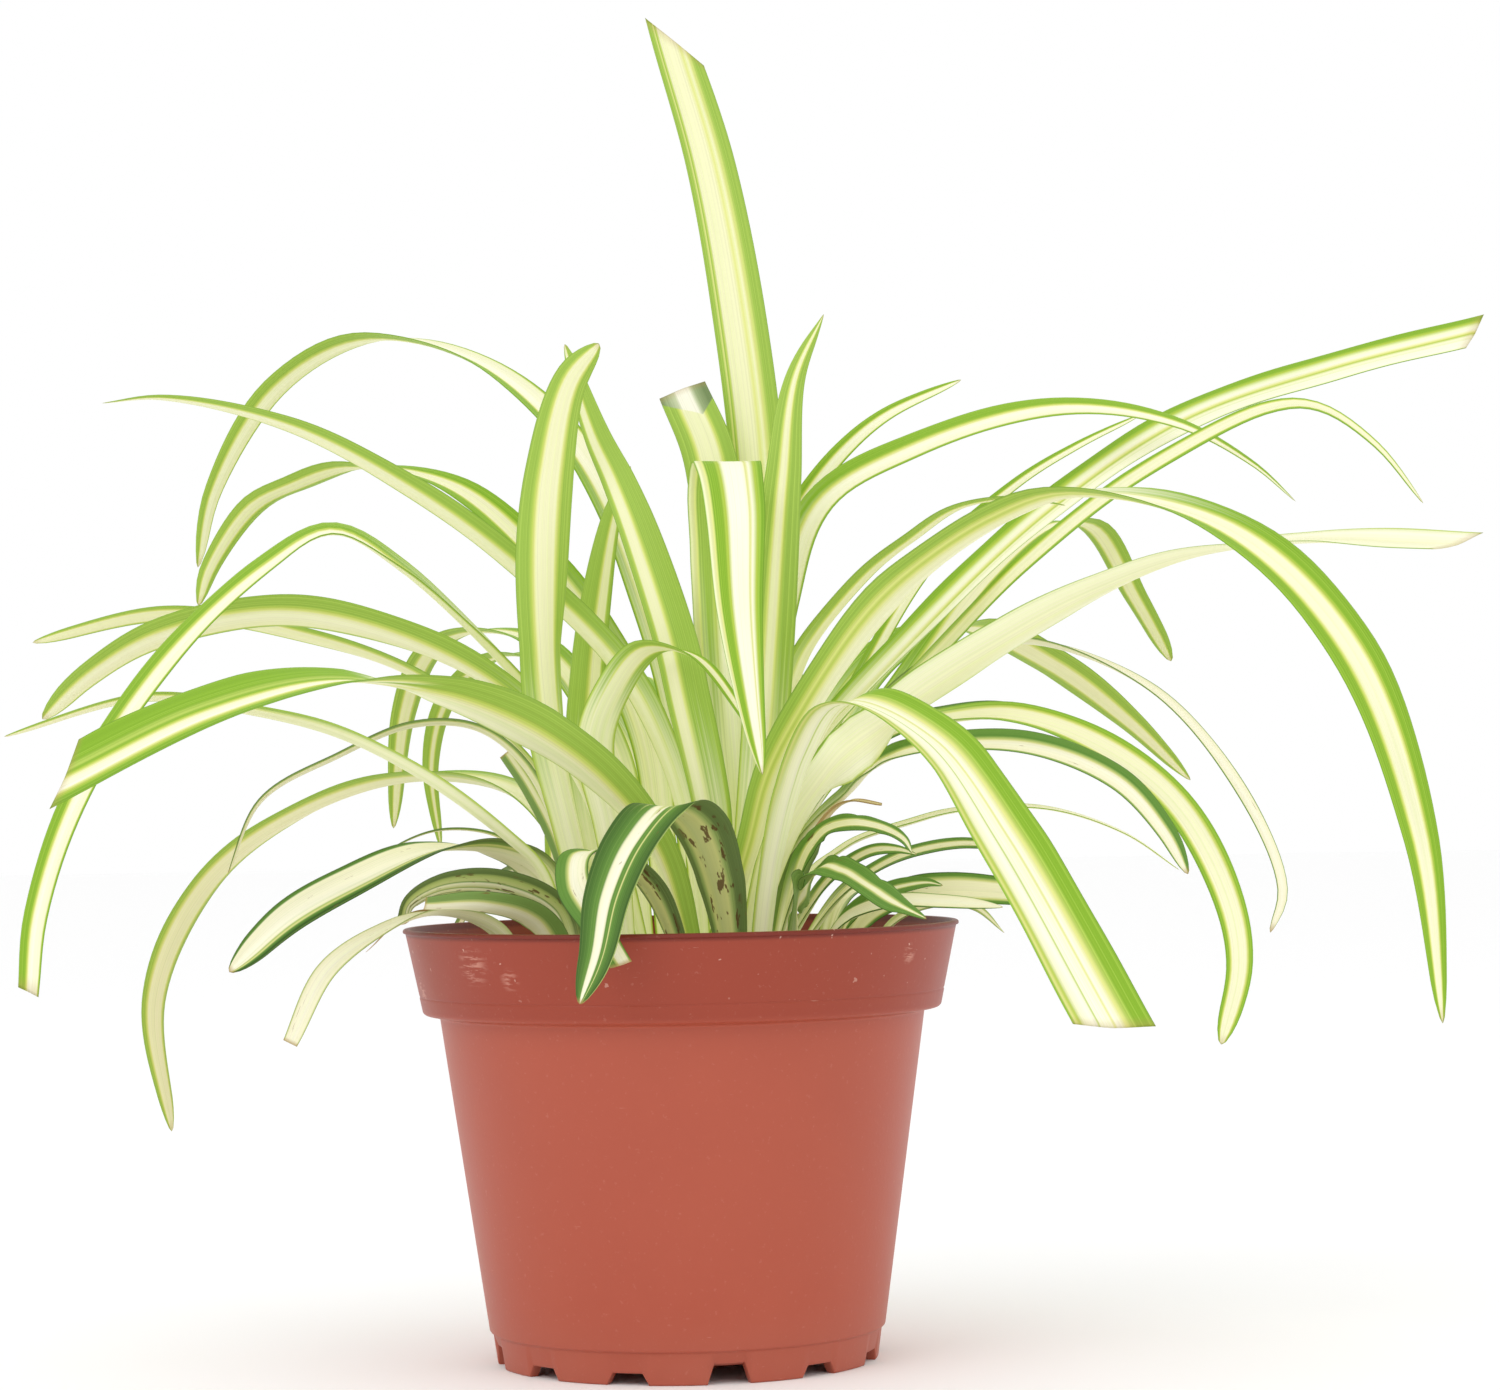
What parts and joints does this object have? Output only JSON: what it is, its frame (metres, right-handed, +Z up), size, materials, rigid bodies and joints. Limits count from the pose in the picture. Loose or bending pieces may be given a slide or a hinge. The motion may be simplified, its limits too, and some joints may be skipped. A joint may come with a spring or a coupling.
{
  "type": "potted spider plant",
  "caption": "Spider plant with arching green leaves striped in cream, rooted in soil in a round tapered plastic nursery pot.",
  "frame": {"origin": "centre of the pot's flat base", "axes": "+Z up, -Y to the front of the picture, +X to the right of the picture"},
  "size_m": [0.3494, 0.2431, 0.3178],
  "materials": {
    "pot": "satin terracotta-coloured plastic",
    "soil": "damp crumbly potting soil",
    "crown": "pale green leaf bases",
    "leaf_left_front_arch": "striped green and cream leaf, satin",
    "leaf_left_long": "striped green and cream leaf, satin",
    "leaf_left_tall_back": "striped green and cream leaf, satin",
    "leaf_left_pointed": "striped green and cream leaf, satin",
    "leaf_left_middle_back": "striped green and cream leaf, satin",
    "leaf_left_broad": "striped green and cream leaf, satin",
    "leaf_left_slim": "striped green and cream leaf, satin",
    "leaf_left_slim_low": "striped green and cream leaf, satin",
    "leaf_left_thin_dark": "striped green and cream leaf, satin",
    "leaf_left_falling": "striped green and cream leaf, satin",
    "leaf_left_dark": "striped green and cream leaf, satin",
    "leaf_left_over_rim": "striped green and cream leaf, satin",
    "leaf_left_rim_spotted": "striped green and cream leaf, satin",
    "leaf_left_rim_striped": "striped green and cream leaf, satin",
    "leaf_left_far": "striped green and cream leaf, satin",
    "leaf_left_far_slim": "striped green and cream leaf, satin",
    "leaf_left_stub": "striped green and cream leaf, satin",
    "leaf_tall": "striped green and cream leaf, satin",
    "leaf_centre_pointed": "striped green and cream leaf, satin",
    "leaf_left_upright": "striped green and cream leaf, satin",
    "leaf_centre_leaning": "striped green and cream leaf, satin",
    "leaf_centre_hidden": "striped green and cream leaf, satin",
    "leaf_centre_folded": "striped green and cream leaf, satin",
    "leaf_centre_hanging": "striped green and cream leaf, satin",
    "leaf_centre_small_arch": "striped green and cream leaf, satin",
    "leaf_front_dark": "striped green and cream leaf, satin",
    "leaf_front_dark_behind": "striped green and cream leaf, satin",
    "leaf_right_broad": "striped green and cream leaf, satin",
    "leaf_right_under": "striped green and cream leaf, satin",
    "leaf_right_high_arch": "striped green and cream leaf, satin",
    "leaf_right_high_slim": "striped green and cream leaf, satin",
    "leaf_right_thin_back": "striped green and cream leaf, satin",
    "leaf_right_big_arch": "striped green and cream leaf, satin",
    "leaf_right_companion": "striped green and cream leaf, satin",
    "leaf_right_pale": "striped green and cream leaf, satin",
    "leaf_right_far_hanging": "striped green and cream leaf, satin",
    "leaf_right_far_broad": "striped green and cream leaf, satin",
    "leaf_right_long_thin": "striped green and cream leaf, satin",
    "leaf_right_dark_arch": "striped green and cream leaf, satin",
    "leaf_right_trimmed": "striped green and cream leaf, satin",
    "leaf_right_falling": "striped green and cream leaf, satin",
    "leaf_right_thread": "striped green and cream leaf, satin",
    "leaf_right_front_broad": "striped green and cream leaf, satin",
    "leaf_right_small_dark": "striped green and cream leaf, satin",
    "leaf_right_small_low": "striped green and cream leaf, satin",
    "leaf_right_small_inner": "striped green and cream leaf, satin",
    "leaf_right_rim_pale": "striped green and cream leaf, satin",
    "leaf_right_rim_dark": "striped green and cream leaf, satin",
    "leaf_right_rim_low": "striped green and cream leaf, satin",
    "leaf_right_dark_upright": "striped green and cream leaf, satin",
    "leaf_right_dark_drooping": "striped green and cream leaf, satin",
    "leaf_back_centre_left": "striped green and cream leaf, satin",
    "leaf_back_centre_right": "striped green and cream leaf, satin",
    "leaf_back_right": "striped green and cream leaf, satin",
    "leaf_back_left": "striped green and cream leaf, satin",
    "leaf_back_left_low": "striped green and cream leaf, satin",
    "leaf_back_right_low": "striped green and cream leaf, satin"
  },
  "bodies": {
    "root": {"pot": "pot", "soil": "soil", "crown": "crown", "leaf_left_front_arch": "leaf_left_front_arch", "leaf_left_long": "leaf_left_long", "leaf_left_tall_back": "leaf_left_tall_back", "leaf_left_pointed": "leaf_left_pointed", "leaf_left_middle_back": "leaf_left_middle_back", "leaf_left_broad": "leaf_left_broad", "leaf_left_slim": "leaf_left_slim", "leaf_left_slim_low": "leaf_left_slim_low", "leaf_left_thin_dark": "leaf_left_thin_dark", "leaf_left_falling": "leaf_left_falling", "leaf_left_dark": "leaf_left_dark", "leaf_left_over_rim": "leaf_left_over_rim", "leaf_left_rim_spotted": "leaf_left_rim_spotted", "leaf_left_rim_striped": "leaf_left_rim_striped", "leaf_left_far": "leaf_left_far", "leaf_left_far_slim": "leaf_left_far_slim", "leaf_left_stub": "leaf_left_stub", "leaf_tall": "leaf_tall", "leaf_centre_pointed": "leaf_centre_pointed", "leaf_left_upright": "leaf_left_upright", "leaf_centre_leaning": "leaf_centre_leaning", "leaf_centre_hidden": "leaf_centre_hidden", "leaf_centre_folded": "leaf_centre_folded", "leaf_centre_hanging": "leaf_centre_hanging", "leaf_centre_small_arch": "leaf_centre_small_arch", "leaf_front_dark": "leaf_front_dark", "leaf_front_dark_behind": "leaf_front_dark_behind", "leaf_right_broad": "leaf_right_broad", "leaf_right_under": "leaf_right_under", "leaf_right_high_arch": "leaf_right_high_arch", "leaf_right_high_slim": "leaf_right_high_slim", "leaf_right_thin_back": "leaf_right_thin_back", "leaf_right_big_arch": "leaf_right_big_arch", "leaf_right_companion": "leaf_right_companion", "leaf_right_pale": "leaf_right_pale", "leaf_right_far_hanging": "leaf_right_far_hanging", "leaf_right_far_broad": "leaf_right_far_broad", "leaf_right_long_thin": "leaf_right_long_thin", "leaf_right_dark_arch": "leaf_right_dark_arch", "leaf_right_trimmed": "leaf_right_trimmed", "leaf_right_falling": "leaf_right_falling", "leaf_right_thread": "leaf_right_thread", "leaf_right_front_broad": "leaf_right_front_broad", "leaf_right_small_dark": "leaf_right_small_dark", "leaf_right_small_low": "leaf_right_small_low", "leaf_right_small_inner": "leaf_right_small_inner", "leaf_right_rim_pale": "leaf_right_rim_pale", "leaf_right_rim_dark": "leaf_right_rim_dark", "leaf_right_rim_low": "leaf_right_rim_low", "leaf_right_dark_upright": "leaf_right_dark_upright", "leaf_right_dark_drooping": "leaf_right_dark_drooping", "leaf_back_centre_left": "leaf_back_centre_left", "leaf_back_centre_right": "leaf_back_centre_right", "leaf_back_right": "leaf_back_right", "leaf_back_left": "leaf_back_left", "leaf_back_left_low": "leaf_back_left_low", "leaf_back_right_low": "leaf_back_right_low"}
  },
  "joints": []
}
